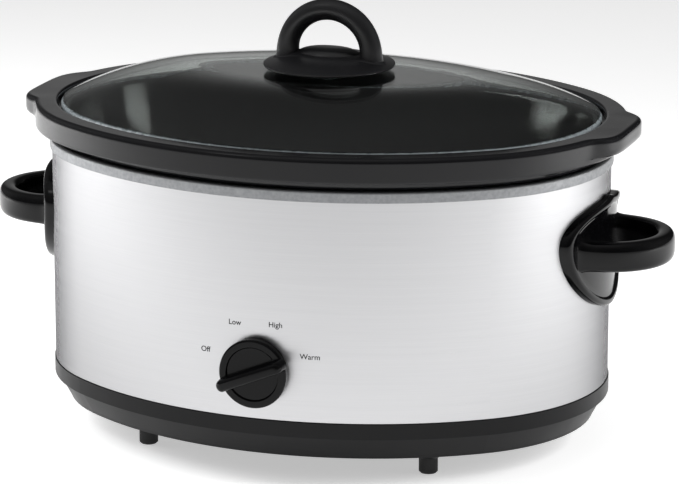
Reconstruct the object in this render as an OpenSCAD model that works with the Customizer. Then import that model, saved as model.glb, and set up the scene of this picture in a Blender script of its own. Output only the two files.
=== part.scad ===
// Oval slow cooker: a steel-wrapped heating base, a glazed crock and a domed glass lid.
// Millimetres. The origin is on the table under the middle of the body, +X points to the
// right-hand handle, -Y to the control knob and +Z up.

/* [Body] */
// Length of the steel wrap over its round ends
body_l = 350; // [290:1:420]
// Depth of the steel wrap from front to back
body_w = 264; // [220:1:317]
// Height of steel that shows between base and collar
wrap_h = 134; // [112:1:161]
// Thickness of the steel wrap
wrap_t = 0.6; // [0.4:0.1:1.2]

/* [Base] */
// Gap between the table and the underside of the base
ground_gap = 15; // [12:1:20]
// Height of the lower, tapered tier of the base
tier_h = 15; // [12:1:20]
// Height of the upper band of the base
band_h = 10; // [8:1:14]
// How far the lower tier draws in towards its bottom edge
tier_draw = 8; // [4:0.5:12]
// Wall thickness of the base moulding
base_t = 2.5; // [2:0.1:3.5]
// Diameter of a foot
foot_d = 11.5; // [9.5:0.1:14]
// Distance between the left and right feet
foot_span_x = 180; // [150:1:216]
// Distance between the front and back feet
foot_span_y = 158; // [130:1:190]

/* [Heating well] */
// Height of the rolled collar on top of the wrap
collar_h = 7; // [5:0.5:10]
// How far the collar stands out past the wrap
collar_out = 1.4; // [1.2:0.1:2.5]
// Thickness of the well's sheet
well_t = 0.8; // [0.6:0.1:1.2]
// How far the well's wall stands inside the wrap at the collar
well_in_top = 9; // [7:0.5:11]
// How far the well's wall stands inside the wrap at the floor
well_in_low = 30; // [27:0.5:36]
// Height of the well's floor above the bottom of the wrap
well_lift = 12; // [10:0.5:15]
// Height of a heater band
heater_h = 30; // [25:1:34]
// Thickness of a heater band
heater_t = 3; // [2:0.1:4]

/* [Crock] */
// Height of the rim's outer face
rim_h = 15.5; // [13:0.5:19]
// Height of the shadow gap between collar and rim
rim_gap = 6; // [5:0.5:8]
// How far the rim stands out past the wrap
rim_out = 10; // [8:0.5:12]
// Wall thickness of the crock
crock_t = 7; // [5.5:0.5:8.5]
// Space between the crock and the well
crock_gap = 2.5; // [2:0.1:3]
// Thickness of the crock's floor
crock_floor_t = 8; // [6.5:0.5:10]
// How far each lug reaches past the wrap
lug_reach = 16.5; // [14:0.5:20]
// Width of a lug
lug_w = 88; // [74:1:105]
// Thickness of a lug
lug_t = 10; // [8:0.5:12]

/* [Lid] */
// Thickness of the glass
glass_t = 4; // [3:0.1:5]
// How far the lid's edge stands inside the wrap's outline
lid_in = 6; // [5.5:0.1:7.5]
// Rise of the dome from its edge to its middle
dome_rise = 22; // [18:0.5:26]
// Diameter of the lid handle's disc
lid_disc_d = 81; // [68:1:97]
// Width over the lid handle's arch
arch_w = 66.5; // [56:0.5:78]
// Diameter of the lid handle's arch
arch_d = 13; // [11:0.5:15]
// Height of the lid handle above the glass
arch_h = 44; // [40:0.5:52]

/* [Side handles] */
// How far the loop reaches past the wrap
loop_reach = 43; // [38:0.5:51]
// Width of the loop from front to back
loop_w = 80; // [70:1:92]
// Thickness of the grip, seen from above
grip_t = 12; // [10:0.5:14]
// Height of the grip
grip_h = 18; // [15:0.5:21]
// Height of the grip's middle above the bottom of the wrap
handle_lift = 90; // [80:1:100]
// Width of the plate behind the loop
plate_w = 105; // [96:1:115]
// Height of the plate above its widest line
plate_up = 22; // [18:0.5:26]
// Depth of the plate below its widest line
plate_down = 44; // [37:0.5:52]
// Thickness of the plate
plate_t = 5.5; // [4.5:0.1:6.5]

/* [Control] */
// Diameter of the knob
knob_d = 42; // [35:0.5:50]
// Height of the knob's axis above the bottom of the wrap
knob_lift = 29; // [25:0.5:34.5]
// Length of the knob's grip bar
bar_l = 45; // [38:0.5:53]
// Width of the knob's grip bar
bar_w = 8; // [7:0.1:9.6]
// How far the grip bar stands off the wrap
bar_out = 17; // [15:0.5:20]
// Angle of the bar above level at the warm setting
warm_angle = 22.5; // [0:0.5:45]
// Diameter of the switch shaft
shaft_d = 6; // [5:0.1:7]
// Diameter of the mains lead that the gland takes
lead_d = 7; // [6:0.1:8]

/* [Hidden] */
$fn = 96;
fit = 0.3;
run_fit = 0.06;
step = 8;

// Four-centre oval of the wrap: end arcs of radius end_r about (+-end_x, 0), and front and
// back arcs of radius side_r about (0, +-side_y). The centres make a 3-4-5 triangle.
half_l = body_l / 2;
half_w = body_w / 2;
centres_apart = 2.5 * (half_l - half_w);
end_x = 0.6 * centres_apart;
side_y = 0.8 * centres_apart;
end_r = half_l - end_x;
side_r = half_w + side_y;
end_angle = atan2(4, 3);

// Heights, from the table up
tier_top = ground_gap + tier_h;
wrap_z = tier_top + band_h;
collar_z = wrap_z + wrap_h;
collar_top = collar_z + collar_h;
rim_z = collar_top + rim_gap;
rim_top = rim_z + rim_h;
well_z = wrap_z + well_lift;
crock_z = well_z + 5;
crock_floor = crock_z + crock_floor_t;
ledge_z = rim_top - glass_t - 0.8;
lid_z = ledge_z + fit;
glass_top = lid_z + dome_rise + glass_t;
handle_z = wrap_z + handle_lift;
plate_z = handle_z + 6;
knob_z = wrap_z + knob_lift;
gland_z = wrap_z + 18;
shield_z = well_z - well_t - 6;
shield_t = 0.6;

// Wrap and collar
tuck = collar_h - 2;
lip_h = 6;
skirt_in = 0.3;

// Rests and clearances of the crock
seat_z = collar_top + fit;
lip_in = lid_in - 2.5;
ledge_w = 9;
crock_low_r = 14;
well_low_r = crock_low_r + 3;

// Fixings
tie_x = 70;
tie_d = 5;
tie_boss_d = 14;
tie_hole_d = tie_d + 0.6;
stud_head_d = 16;
stud_head_h = 1;
nut_h = 4;
flange_h = 1;
foot_h = ground_gap - 5;
foot_screw_d = 3;
foot_head_d = 6;
foot_sink = 4;
foot_boss_h = 10;
screw_d = 3.5;
screw_depth = 14;
glass_hole_d = 6;
lid_screw_d = 4;
loop_r = (loop_w - grip_t) / 2;
loop_x = half_l + loop_reach - loop_w / 2;
backing_t = 1.2;

// Heater bands, one below and one above the middle of the well
lower_heater_z = well_z + 12;
upper_heater_z = lower_heater_z + heater_h + 18;
heater_gap = 64;
fuse_z = lower_heater_z + heater_h + 9;
gland_out = 12;
gland_d = lead_d + 7;

// Rotary switch, measured inwards from the front of the wrap
bush_d = shaft_d + 4;
bush_out = 2.4;
switch_front = 4;
switch_depth = 15;
switch_w = 30;
switch_h = 28;

// Plastic over the shaft's end inside the grip bar, and the spring ring in the hub
shaft_cover = 4;
clip_t = 0.4;
clip_h = 5.6;

// ---------- shapes shared by several parts ----------

// Points of an arc, from one angle to another.
function arc(centre, radius, from, to, n = step) =
    [for (i = [0:n]) let (t = from + (to - from) * i / n)
        centre + radius * [cos(t), sin(t)]];

// Distance of the well's inner face from the wrap's outline, at a height.
function well_in(z) =
    -well_in_low + (well_in_low - well_in_top) * (z - well_z) / (collar_top - well_z);

// Sweeps a profile round the oval. Profile x is the distance outwards from the wrap's
// outline, and profile y is the height.
module oval_sweep() {
    for (x = [0, 1], y = [0, 1]) mirror([x, 0, 0]) mirror([0, y, 0]) {
        translate([end_x, 0, 0])
            rotate_extrude(angle = end_angle) translate([end_r, 0]) children();
        translate([0, -side_y, 0])
            rotate_extrude(angle = 90 - end_angle, start = end_angle)
                translate([side_r, 0]) children();
    }
}

// Corner points of an oval that stands a distance outwards from the wrap's outline.
function oval_points(reach) = [
    for (q = [0:3], i = [0:step - 1])
        let (
            side = q % 2,
            half = side == 1 ? 90 - end_angle : end_angle,
            t = 90 * q - half + 2 * half * i / step,
            centre = side == 1 ? [0, q == 1 ? -side_y : side_y] : [q == 0 ? end_x : -end_x, 0]
        )
        centre + ((side == 1 ? side_r : end_r) + reach) * [cos(t), sin(t)]
];

// A flat plate that fills a swept ring, reaching under or into the ring's own flat part.
module oval_plate(reach, low, thick) {
    translate([0, 0, low]) linear_extrude(thick) polygon(oval_points(reach));
}

// A curved strip that follows the right-hand end, between two distances and two heights.
module end_strip(near, far, low, high, half_angle) {
    translate([end_x, 0, low])
        rotate_extrude(angle = 2 * half_angle, start = -half_angle)
            translate([end_r + near, 0]) square([far - near, high - low]);
}

// A ring or washer.
module tube(outer_d, inner_d, h) {
    difference() {
        cylinder(d = outer_d, h = h);
        translate([0, 0, -1]) cylinder(d = inner_d, h = h + 2);
    }
}

module rounded_rect(w, h, r) {
    square([w - 2 * r, h], center = true);
    square([w, h - 2 * r], center = true);
    for (x = [-1, 1], y = [-1, 1])
        translate([x * (w / 2 - r), y * (h / 2 - r)]) circle(r);
}

module at_feet() {
    for (x = [-1, 1], y = [-1, 1])
        translate([x * foot_span_x / 2, y * foot_span_y / 2, 0]) children();
}

module at_ties() {
    for (x = [-1, 1]) translate([x * tie_x, 0, 0]) children();
}

// Local z points out of the front of the wrap, from the knob's axis.
module at_knob() {
    translate([0, -half_w, knob_z]) rotate([90, 0, 0]) children();
}

// Local z points out of the back of the wrap, from the gland's axis.
module at_gland() {
    translate([0, half_w, gland_z]) rotate([-90, 0, 0]) children();
}

// A round wire through a list of points, with a slightly fatter ball at each bend.
module wire(points, d) {
    ball_d = 1.35 * d;
    for (i = [0:len(points) - 2]) {
        run = points[i + 1] - points[i];
        translate(points[i])
            rotate([0, acos(run.z / norm(run)), atan2(run.y, run.x)])
                cylinder(d = d, h = norm(run), $fn = 24);
    }
    for (i = [1:len(points) - 2]) translate(points[i]) sphere(d = ball_d, $fn = 24);
}

// ---------- base ----------

// Section of the base: tapered tier, step, upper band and the lip inside the wrap.
module base_profile() {
    lip_out = -wrap_t - fit;
    lip_face = lip_out - base_t;
    polygon([
        [-tier_draw - 9, ground_gap],
        [-tier_draw - 4, ground_gap],
        [-tier_draw - 1, ground_gap + 0.8],
        [-tier_draw, ground_gap + 3],
        [-1.5, tier_top],
        [0.6, tier_top + 0.3],
        [0.6, wrap_z - 0.4],
        [0.2, wrap_z],
        [lip_out, wrap_z],
        [lip_out, wrap_z + lip_h],
        [lip_face, wrap_z + lip_h],
        [lip_face - 0.4, tier_top],
        [-tier_draw - base_t, ground_gap + base_t + 1.5],
        [-tier_draw - 4, ground_gap + base_t],
        [-tier_draw - 9, ground_gap + base_t]
    ]);
}

module base_pan() {
    color("#1b1b1c") difference() {
        union() {
            oval_sweep() base_profile();
            oval_plate(-tier_draw - 7, ground_gap, base_t);
            at_feet() {
                translate([0, 0, foot_h])
                    cylinder(d1 = foot_d + 2, d2 = foot_d + 12, h = ground_gap - foot_h + 0.1);
                translate([0, 0, ground_gap])
                    cylinder(d = 4 * foot_screw_d, h = base_t + foot_boss_h);
            }
            at_ties() translate([0, 0, ground_gap])
                cylinder(d = tie_boss_d, h = shield_z - ground_gap);
        }
        at_feet() cylinder(d = foot_screw_d, h = ground_gap + base_t + foot_boss_h - 2);
        at_ties() cylinder(d = tie_hole_d, h = shield_z + 1);
        base_vents();
    }
}

// Two rows of cooling slots through the floor of the base.
module base_vents() {
    slot = [4, 26, base_t + 2];
    pitch = 12;
    row_y = 34;
    for (y = [-1, 1], i = [-3:3])
        translate([i * pitch - slot.x / 2, y * row_y - slot.y / 2, ground_gap - 1]) cube(slot);
}

module feet() {
    chamfer = 1;
    color("#242424") at_feet() difference() {
        union() {
            cylinder(d1 = foot_d - 2 * chamfer, d2 = foot_d, h = chamfer);
            translate([0, 0, chamfer]) cylinder(d = foot_d, h = foot_h - chamfer);
        }
        translate([0, 0, -1]) cylinder(d = foot_screw_d + 0.4, h = foot_h + 2);
        translate([0, 0, -1]) cylinder(d = foot_head_d + 0.6, h = foot_sink + 1);
    }
}

module foot_screws() {
    head_h = 2.4;
    color("#b9bcc0") at_feet() {
        translate([0, 0, foot_sink - head_h]) cylinder(d = foot_head_d, h = head_h);
        translate([0, 0, foot_sink]) cylinder(d = foot_screw_d, h = ground_gap + base_t);
    }
}

// ---------- wrap and well ----------

module outer_wrap() {
    color("#d8dadc") difference() {
        oval_sweep() translate([-wrap_t, wrap_z]) square([wrap_t, wrap_h + tuck]);
        at_knob() translate([0, 0, -5]) cylinder(d = bush_d + 0.4, h = 10);
        at_gland() translate([0, 0, -5]) cylinder(d = gland_d + 0.2, h = 10);
        for (y = [-1, 1]) translate([-half_l - 10, y * loop_r, handle_z]) rotate([0, 90, 0])
            cylinder(d = screw_d + 0.8, h = body_l + 20);
    }
}

// Section of the heating well: rolled collar, tapering wall and rounded foot.
module well_profile() {
    low = -well_in_low;
    corner = [low - well_low_r, well_z + well_low_r];
    polygon(concat(
        [[skirt_in, collar_z], [collar_out, collar_z]],
        arc([collar_out - 1, collar_top - 1], 1, 0, 90, 4),
        [[-well_in_top, collar_top]],
        arc(corner, well_low_r, 0, -90),
        [[corner.x - 5, well_z], [corner.x - 5, well_z - well_t]],
        arc(corner, well_low_r + well_t, -90, 0),
        [[-well_in_top + well_t, collar_top - well_t], [skirt_in, collar_top - well_t]]
    ));
}

module heating_well() {
    color("#a6a8ab") union() {
        oval_sweep() well_profile();
        oval_plate(-well_in_low - well_low_r - 3, well_z - well_t, well_t);
    }
}

// Reflector under the well, with a turned-up rim.
module heat_shield() {
    rim = -well_in_low - 6;
    color("#c6c8ca") difference() {
        union() {
            oval_sweep() polygon([
                [rim - 6, shield_z], [rim, shield_z], [rim, shield_z + 3],
                [rim - shield_t, shield_z + 3], [rim - shield_t, shield_z + shield_t],
                [rim - 6, shield_z + shield_t]
            ]);
            oval_plate(rim - 3, shield_z, shield_t);
        }
        at_ties() translate([0, 0, shield_z - 1]) cylinder(d = tie_hole_d, h = 3);
    }
}

// Studs with a wide head that is welded under the well's floor.
module tie_studs() {
    top = well_z - well_t;
    low = ground_gap - nut_h - flange_h - 1;
    color("#b9bcc0") at_ties() {
        translate([0, 0, low]) cylinder(d = tie_d, h = top - low);
        translate([0, 0, top - stud_head_h]) cylinder(d = stud_head_d, h = stud_head_h);
    }
}

module tie_spacers() {
    low = shield_z + shield_t;
    color("#c9c3b4") at_ties() translate([0, 0, low])
        tube(stud_head_d - 4, tie_hole_d, well_z - well_t - stud_head_h - low);
}

// Flanged hexagon nuts under the base.
module tie_nuts() {
    color("#b9bcc0") at_ties() translate([0, 0, ground_gap - nut_h - flange_h]) difference() {
        union() {
            translate([0, 0, nut_h]) cylinder(d = tie_boss_d, h = flange_h);
            cylinder(d = 1.84 * tie_d, h = nut_h + 0.1, $fn = 6);
        }
        translate([0, 0, -1]) cylinder(d = tie_d, h = nut_h + flange_h + 2);
    }
}

// ---------- heaters ----------

// A band that lies on the outside of the well, open at the front for its terminals.
module heater_band(low) {
    near = well_t + fit;
    difference() {
        oval_sweep() polygon([
            [well_in(low) + near, low],
            [well_in(low) + near + heater_t, low],
            [well_in(low + heater_h) + near + heater_t, low + heater_h],
            [well_in(low + heater_h) + near, low + heater_h]
        ]);
        translate([-heater_gap / 2, -body_w, low - 1]) cube([heater_gap, body_w, heater_h + 2]);
    }
}

module lower_heater() {
    color("#cdb98f") heater_band(lower_heater_z);
}

module upper_heater() {
    color("#cdb98f") heater_band(upper_heater_z);
}

// Four spring strips that press both bands against the well.
module heater_clips() {
    near = well_t + 2 * fit + heater_t;
    low = lower_heater_z - 4;
    high = upper_heater_z + heater_h + 4;
    color("#b9bcc0") for (turn = [0, 180], side = [-1, 1]) rotate(turn)
        translate([end_x, 0, 0])
            rotate_extrude(angle = 5, start = side * 32 - 2.5)
                translate([end_r, 0]) polygon([
                    [well_in(low) + near, low],
                    [well_in(low) + near + 0.8, low],
                    [well_in(high) + near + 0.8, high],
                    [well_in(high) + near, high]
                ]);
}

// The fuse lies level across the back of the well, between the two bands.
module at_fuse() {
    translate([0, half_w + well_in(fuse_z) + well_t + 3.4, fuse_z]) rotate([0, 90, 0]) children();
}

module thermal_fuse() {
    color("#d9d3c3") at_fuse() {
        translate([0, 0, -7]) cylinder(d = 4, h = 14);
        translate([0, 0, -17]) cylinder(d = 1, h = 34);
    }
}

module fuse_clip() {
    color("#b9bcc0") at_fuse() translate([0, 0, -3]) tube(5.2, 4, 6);
}

// ---------- side handles ----------

// Plate outline in the handle's own plane, flatter above its widest line than below it.
function plate_outline(inset, n = 24) = concat(
    [for (i = [0:n]) let (t = 180 * i / n)
        [(plate_w / 2 - inset) * sign(cos(t)) * pow(abs(cos(t)), 0.82),
         (plate_up - inset) * pow(abs(sin(t)), 0.82)]],
    [for (i = [1:n - 1]) let (t = 180 + 180 * i / n)
        [(plate_w / 2 - inset) * sign(cos(t)) * pow(abs(cos(t)), 1.1),
         -(plate_down - inset) * pow(abs(sin(t)), 1.1)]]
);

// The outline as a prism along X, through the right-hand end of the body.
module plate_prism(inset) {
    translate([half_l - 60, 0, plate_z]) rotate([90, 0, 90])
        linear_extrude(120) polygon(plate_outline(inset));
}

module grip_section() {
    rounded_rect(grip_t, grip_h, grip_t * 0.42);
}

// The curved plate with its raised edge.
module handle_plate() {
    edge_w = 5;
    edge_h = 1.6;
    low = plate_z - plate_down - 2;
    high = plate_z + plate_up + 2;
    difference() {
        intersection() {
            end_strip(fit, fit + plate_t, low, high, 40);
            plate_prism(0);
        }
        intersection() {
            end_strip(fit + plate_t - edge_h, fit + plate_t + 4, low, high, 40);
            plate_prism(edge_w);
        }
    }
}

// The level D-shaped loop, cut back to stand on the wrap.
module handle_loop() {
    leg = 30;
    difference() {
        union() {
            translate([loop_x, 0, handle_z])
                rotate_extrude(angle = 180, start = -90)
                    translate([loop_r, 0]) grip_section();
            for (y = [-1, 1]) translate([loop_x - leg, y * loop_r, handle_z])
                rotate([90, 0, 90]) linear_extrude(leg) grip_section();
        }
        translate([end_x, 0, handle_z - grip_h]) cylinder(r = end_r + fit, h = 2 * grip_h);
    }
}

// Right-hand handle, one moulding that takes two screws from inside the wrap.
module side_handle() {
    start = half_l - 30;
    difference() {
        union() {
            handle_plate();
            handle_loop();
        }
        for (y = [-1, 1]) translate([start, y * loop_r, handle_z]) rotate([0, 90, 0])
            cylinder(d = screw_d, h = screw_x() + screw_depth - start);
    }
}

// Where a handle screw's head rests inside the wrap.
function screw_x() =
    end_x + sqrt(pow(end_r - wrap_t - fit - backing_t, 2) - pow(loop_r + screw_d, 2));

module right_handle() {
    color("#161617") side_handle();
}

module left_handle() {
    color("#161617") mirror([1, 0, 0]) side_handle();
}

module handle_backings() {
    color("#b9bcc0") for (turn = [0, 180]) rotate(turn) difference() {
        end_strip(-wrap_t - fit - backing_t, -wrap_t - fit, handle_z - 8, handle_z + 8, 25);
        for (y = [-1, 1]) translate([half_l - 60, y * loop_r, handle_z]) rotate([0, 90, 0])
            cylinder(d = screw_d + 0.8, h = 80);
    }
}

module handle_screws() {
    color("#b9bcc0") for (turn = [0, 180], y = [-1, 1]) rotate(turn)
        translate([screw_x(), y * loop_r, handle_z]) rotate([0, 90, 0]) {
            translate([0, 0, -2.4]) cylinder(d = 2 * screw_d, h = 2.4);
            cylinder(d = screw_d, h = screw_depth - 1);
        }
}

// ---------- control ----------

// Box of the switch with its threaded bush, and four flat terminals on its back.
module rotary_switch() {
    back = -switch_front - switch_depth;
    terminal = [0.8, 6, 4];
    pitch = 6;
    color("#3a3a3c") at_knob() difference() {
        union() {
            translate([-switch_w / 2, -switch_h / 2, back]) cube([switch_w, switch_h, switch_depth]);
            translate([0, 0, -switch_front - 0.1]) cylinder(d = bush_d, h = switch_front + bush_out);
            for (i = [-1.5:1.5])
                translate([i * pitch - terminal.x / 2, -8, back - terminal.z])
                    cube(terminal + [0, 0, 0.1]);
        }
        translate([0, 0, back + 3])
            cylinder(d = shaft_d + 2 * run_fit, h = switch_depth + bush_out + 5);
    }
}

module switch_nut() {
    color("#b9bcc0") at_knob() difference() {
        cylinder(d = bush_d + 5.5, h = 2.2, $fn = 6);
        translate([0, 0, -1]) cylinder(d = bush_d, h = 5);
    }
}

module switch_shaft() {
    inner_end = -switch_front - switch_depth + 3.5;
    color("#c9cbce") at_knob() translate([0, 0, inner_end])
        cylinder(d = shaft_d, h = bar_out - shaft_cover - inner_end);
}

// The knob: a hollow skirt with a sunk face, and a long rounded grip bar.
module knob() {
    skirt_z = 1.2;
    skirt_t = 3;
    face_z = 7.4;
    face_sink = 0.8;
    edge = 1;
    hub_z = bush_out + 0.8;
    color("#18181a") at_knob() difference() {
        union() {
            translate([0, 0, skirt_z]) cylinder(d = knob_d - edge, h = edge);
            translate([0, 0, skirt_z + edge]) cylinder(d = knob_d, h = face_z - skirt_z - 2 * edge);
            translate([0, 0, face_z - edge]) cylinder(d1 = knob_d, d2 = knob_d - 1.6, h = edge);
            rotate(warm_angle) translate([0, 0, face_z - 2]) grip_bar(bar_out - face_z + 2);
        }
        translate([0, 0, skirt_z - 1]) difference() {
            cylinder(d = knob_d - 2 * skirt_t, h = skirt_t + 1);
            translate([0, 0, hub_z - skirt_z + 1]) cylinder(d = shaft_d + 6, h = skirt_t + 1);
        }
        translate([0, 0, face_z - face_sink]) difference() {
            cylinder(d = knob_d * 0.76, h = 3);
            rotate(warm_angle) translate([0, 0, -1]) grip_bar(6);
        }
        cylinder(d = shaft_d, h = bar_out - shaft_cover);
        translate([0, 0, hub_z - 1]) cylinder(d = shaft_d + 2 * clip_t, h = clip_h + 1.4);
    }
}

module grip_bar(h) {
    linear_extrude(h) {
        square([bar_l - bar_w, bar_w], center = true);
        for (x = [-1, 1]) translate([x * (bar_l - bar_w) / 2, 0]) circle(d = bar_w);
    }
}

// Split spring ring that grips the shaft inside the knob's hub.
module knob_clip() {
    color("#c9cbce") at_knob() translate([0, 0, bush_out + 1])
        rotate_extrude(angle = 300, start = 30)
            translate([shaft_d / 2, 0]) square([clip_t, clip_h]);
}

// ---------- mains side ----------

// Gland with a flange outside the wrap and a locking ring behind it.
module cord_gland() {
    gland_in = 8;
    flange_t = 2.5;
    ring_t = 2;
    color("#1b1b1c") at_gland() difference() {
        union() {
            translate([0, 0, -gland_in]) cylinder(d = gland_d, h = gland_in + 1);
            cylinder(d = gland_d + 5, h = flange_t);
            translate([0, 0, flange_t - 0.1])
                cylinder(d1 = gland_d + 2, d2 = gland_d - 2, h = gland_out - flange_t + 0.1);
            translate([0, 0, -wrap_t - 1.1 - ring_t]) cylinder(d = gland_d + 3, h = ring_t);
        }
        translate([0, 0, -gland_in - 1]) cylinder(d = lead_d, h = gland_in + gland_out + 2);
    }
}

block = [34, 16, 14];
block_y = half_w - tier_draw - 44;
block_z = ground_gap + base_t;

// Block with one bore for each of the lead's three cores.
module terminal_block() {
    color("#e6e2d6") translate([-block.x / 2, block_y - block.y / 2, block_z]) difference() {
        cube(block);
        for (i = [0:2]) translate([block.x * (i + 0.5) / 3, -1, block.z / 2]) rotate([-90, 0, 0])
            cylinder(d = 4, h = block.y + 2);
    }
}

wire_d = 2.2;
wire_z = block_z + block.z / 2;
wire_y = block.y / 2 + 1.5;
switch_back = -half_w + switch_front + switch_depth + 4;

// From the block's left pole, low across the base and up to the back of the switch.
module live_wire() {
    side_x = -30;
    color("#6b3f24") wire([
        [-block.x / 3, block_y - wire_y, wire_z],
        [side_x, block_y - 34, wire_z],
        [-3, switch_back + 10, wire_z + 6],
        [-3, switch_back + 2, knob_z - 8]
    ], wire_d);
}

// Route from the back of the switch round to the open end of a heater band.
function band_route(x, high) = [
    [x * 0.36, switch_back + 2, knob_z - 7],
    [x * 0.7, switch_back + 2, knob_z - 18],
    [x, -half_w + 9, high - 6],
    [x, -half_w + 9, high]
];

module low_wire() {
    color("#8a2d22") wire(band_route(-25, lower_heater_z + 12), wire_d);
}

module high_wire() {
    color("#8a2d22") wire(band_route(25, upper_heater_z + 8), wire_d);
}

module neutral_wire() {
    fuse_y = half_w + well_in(fuse_z) + well_t + 3.4;
    color("#2b4b78") wire([
        [block.x / 3, block_y + wire_y, wire_z],
        [block.x / 3 + 12, half_w - 14, wire_z + 8],
        [block.x / 3 + 14, half_w - 10, wrap_z + 20],
        [block.x / 3 + 12, fuse_y + 5, fuse_z - 12],
        [18.5, fuse_y, fuse_z]
    ], wire_d);
}

module earth_wire() {
    color("#6d8a3a") wire([
        [0, block_y - wire_y, wire_z],
        [tie_x - 18, 24, wire_z + 2],
        [tie_x - 8.5, 4, shield_z - 4]
    ], wire_d);
}

// ---------- crock ----------

// Section of the crock: tapering wall, seat on the collar, deep rim and ledge for the lid.
module crock_profile() {
    low_out = -well_in_low - crock_gap;
    low_in = low_out - crock_t;
    high_out = -well_in_top - crock_gap;
    polygon(concat(
        [[low_in - crock_low_r - 4, crock_z]],
        arc([low_out - crock_low_r, crock_z + crock_low_r], crock_low_r, -90, 0),
        [[high_out, seat_z - 4], [high_out + 1, seat_z], [-1, seat_z], [2, rim_z]],
        arc([rim_out - 3.5, rim_z + 2], 2, -90, 0, 4),
        arc([rim_out - 4, rim_top - 4], 4, 0, 90, 6),
        arc([1.5 - lip_in, rim_top - 1.5], 1.5, 90, 180, 3),
        [[-lip_in - 0.6, ledge_z + 0.6], [-lip_in - 1.2, ledge_z]],
        arc([-lip_in - ledge_w + 3, ledge_z - 3], 3, 90, 180, 4),
        arc([low_in - crock_low_r + 2, crock_floor + crock_low_r - 2], crock_low_r - 2, 0, -90),
        [[low_in - crock_low_r - 4, crock_floor]]
    ));
}

// Outline of a right-hand lug, rounded at its two outer corners.
module lug_outline() {
    corner = 22;
    root = end_x + end_r - lip_in + 2;
    tip = half_l + lug_reach;
    intersection() {
        union() {
            translate([root, -lug_w / 2]) square([tip - corner - root, lug_w]);
            translate([root, corner - lug_w / 2]) square([tip - root, lug_w - 2 * corner]);
            for (y = [-1, 1]) translate([tip - corner, y * (lug_w / 2 - corner)]) circle(corner);
        }
        translate([root, -lug_w / 2]) square([tip - root, lug_w]);
    }
}

module crock() {
    color("#2a2a2d") union() {
        oval_sweep() crock_profile();
        oval_plate(-well_in_low - crock_gap - crock_t - crock_low_r - 2, crock_z, crock_floor_t);
        for (turn = [0, 180]) rotate(turn)
            translate([0, 0, rim_top - lug_t - 0.8]) linear_extrude(lug_t) lug_outline();
    }
}

// ---------- lid ----------

// The dome is level inside the line where its end radius has shrunk to level_r.
level_r = 14;
dome_run = end_r - level_r - lid_in;
level_in = lid_in + dome_run + 4;

// Height of the dome's underside above the lid's edge, at a distance in from the edge.
function dome(run) = dome_rise * (1 - pow(1 - run / dome_run, 2));

module lid_profile() {
    n = 14;
    polygon(concat(
        [for (i = [0:n]) [-lid_in - dome_run * i / n, lid_z + dome(dome_run * i / n)]],
        [[-level_in, lid_z + dome_rise], [-level_in, lid_z + dome_rise + glass_t]],
        [for (i = [n:-1:1])
            [-lid_in - dome_run * i / n, lid_z + glass_t + dome(dome_run * i / n)]],
        [[-lid_in - 0.6, lid_z + glass_t], [-lid_in, lid_z + glass_t - 0.8]]
    ));
}

module lid_glass() {
    color("#c9d6dc", 0.35) difference() {
        union() {
            oval_sweep() lid_profile();
            oval_plate(2 - level_in, lid_z + dome_rise, glass_t);
        }
        translate([0, 0, lid_z]) cylinder(d = glass_hole_d, h = dome_rise + 2 * glass_t);
    }
}

// Section of the lid handle's disc: thin rim, sloping top and a low crown.
module disc_profile() {
    r = lid_disc_d / 2;
    polygon([
        [0, 0.2], [r - 12, 0.2], [r - 1, 2.6], [r, 4], [r - 1, 5.4],
        [r - 10, 7.6], [r - 20, 9.6], [r - 30, 10.6], [0, 11]
    ]);
}

module lid_handle() {
    arch_r = (arch_w - arch_d) / 2;
    arch_z = arch_h - arch_w / 2;
    foot_z = 4;
    foot_t = 5;
    foot_w = arch_d + 3;
    color("#1c1c1e") translate([0, 0, glass_top]) difference() {
        union() {
            rotate_extrude() disc_profile();
            translate([0, 0, arch_z]) rotate([90, 0, 0])
                rotate_extrude(angle = 180) translate([arch_r, 0]) circle(d = arch_d);
            for (x = [-1, 1]) translate([x * arch_r, 0, foot_z])
                cylinder(d = arch_d, h = arch_z - foot_z);
            translate([0, 0, foot_z]) linear_extrude(foot_t) {
                square([2 * arch_r, foot_w], center = true);
                for (x = [-1, 1]) translate([x * arch_r, 0]) circle(d = foot_w);
            }
        }
        translate([0, 0, -1]) cylinder(d = lid_screw_d, h = 10);
    }
}

module lid_washer() {
    color("#3a3a3c") translate([0, 0, lid_z + dome_rise - 1.5]) tube(18, lid_screw_d + 0.4, 1.4);
}

module lid_screw() {
    head_z = lid_z + dome_rise - 4.5;
    color("#c9cbce") {
        translate([0, 0, head_z]) cylinder(d = 10, h = 3);
        translate([0, 0, head_z + 2.9]) cylinder(d = lid_screw_d, h = glass_top + 8 - head_z - 2.9);
    }
}

base_pan();
feet();
foot_screws();
outer_wrap();
heating_well();
heat_shield();
tie_studs();
tie_spacers();
tie_nuts();
lower_heater();
upper_heater();
heater_clips();
thermal_fuse();
fuse_clip();
left_handle();
right_handle();
handle_backings();
handle_screws();
rotary_switch();
switch_nut();
switch_shaft();
knob();
knob_clip();
cord_gland();
terminal_block();
live_wire();
low_wire();
high_wire();
neutral_wire();
earth_wire();
crock();
lid_glass();
lid_handle();
lid_washer();
lid_screw();
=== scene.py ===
import math

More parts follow.
